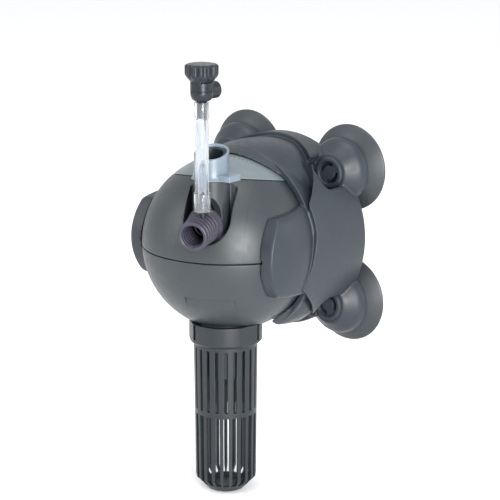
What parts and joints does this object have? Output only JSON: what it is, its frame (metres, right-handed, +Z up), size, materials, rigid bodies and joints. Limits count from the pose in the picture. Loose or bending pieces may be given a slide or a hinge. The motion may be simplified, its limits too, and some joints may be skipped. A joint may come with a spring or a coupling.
{
  "type": "internal power filter",
  "caption": "Ball-shaped submersible filter pump in a petal holder with suction cups, with a flow regulator, bellows nozzle, air tube with valve and a slotted strainer.",
  "frame": {"origin": "centre of the four suction cups, in the plane of the glass", "axes": "+Y into the glass, -Y to the front of the filter, +Z up, +X to the right seen from the front"},
  "size_m": [0.1038, 0.1063, 0.2132],
  "materials": {
    "holder_plastic": "fine satin moulding",
    "casing_plastic": "fine spark-eroded texture",
    "scale_plastic": "satin",
    "cup_rubber": "smooth matte rubber",
    "bellows_rubber": "smooth matte rubber",
    "seal_rubber": "smooth",
    "dark_plastic": "satin",
    "clear_tube": "clear flexible vinyl",
    "steel": "brushed",
    "ceramic": "ground ceramic",
    "ferrite": "pressed ferrite",
    "copper": "enamelled wire",
    "impeller_plastic": "smooth"
  },
  "bodies": {
    "holder": {"holder": "holder_plastic", "suction_cup_left_bottom": "cup_rubber", "suction_cup_left_top": "cup_rubber", "suction_cup_right_bottom": "cup_rubber", "suction_cup_right_top": "cup_rubber"},
    "shaft_unit": {"pump_shaft": "ceramic", "upper_bush": "seal_rubber", "lower_bush": "seal_rubber"},
    "pump": {"upper_shell": "casing_plastic", "lower_shell": "casing_plastic", "scale_plate": "scale_plastic", "seam_seal": "seal_rubber", "cable_gland": "seal_rubber", "rotor_well_plate": "dark_plastic", "plate_screw_1": "steel", "plate_screw_2": "steel", "plate_screw_3": "steel", "stator_core": "steel", "stator_coil_left": "copper", "stator_coil_right": "copper", "impeller_housing": "dark_plastic", "inlet_plate": "dark_plastic"},
    "rotor": {"rotor_magnet": "ferrite", "impeller": "impeller_plastic"},
    "flow_regulator": {"regulator_sleeve": "scale_plastic"},
    "nozzle": {"nozzle_bellows": "bellows_rubber", "air_barb": "dark_plastic", "air_tube": "clear_tube", "tube_sleeve": "clear_tube"},
    "air_valve": {"valve_body": "dark_plastic"},
    "knob": {"valve_knob": "dark_plastic", "valve_needle": "steel"},
    "strainer": {"strainer_collar": "dark_plastic", "strainer_basket": "dark_plastic"}
  },
  "joints": [
    {"name": "ball_tilt", "type": "hinge", "parent": "holder", "child": "shaft_unit", "pos_m": [0, -0.053, 0.001], "axis": [1, 0, 0], "range_deg": [-10, 12]},
    {"name": "ball_turn", "type": "hinge", "parent": "shaft_unit", "child": "pump", "pos_m": [0, -0.053, 0.001], "axis": [0, 0, 1], "range_deg": [-57, 13]},
    {"name": "rotor_spin", "type": "hinge", "parent": "pump", "child": "rotor", "pos_m": [0, -0.053, 0.001], "axis": [0, 0, 1], "continuous": true},
    {"name": "regulator_turn", "type": "hinge", "parent": "pump", "child": "flow_regulator", "pos_m": [0.01068, -0.07942, 0.03], "axis": [0, 0, 1], "range_deg": [-45, 45]},
    {"name": "nozzle_swivel", "type": "hinge", "parent": "pump", "child": "nozzle", "pos_m": [0.01068, -0.07942, 0.0175], "axis": [0.3746, -0.9272, 0], "range_deg": [-25, 25]},
    {"name": "valve_swivel", "type": "hinge", "parent": "nozzle", "child": "air_valve", "pos_m": [0.01835, -0.0952, 0.0758], "axis": [0, 0, 1], "continuous": true},
    {"name": "knob_turn", "type": "hinge", "parent": "air_valve", "child": "knob", "pos_m": [0.01835, -0.0952, 0.086], "axis": [0, 0, 1], "range_deg": [-180, 180]},
    {"name": "strainer_twist", "type": "hinge", "parent": "pump", "child": "strainer", "pos_m": [0.003, -0.06042, -0.04], "axis": [0, 0, 1], "range_deg": [0, 25]}
  ]
}
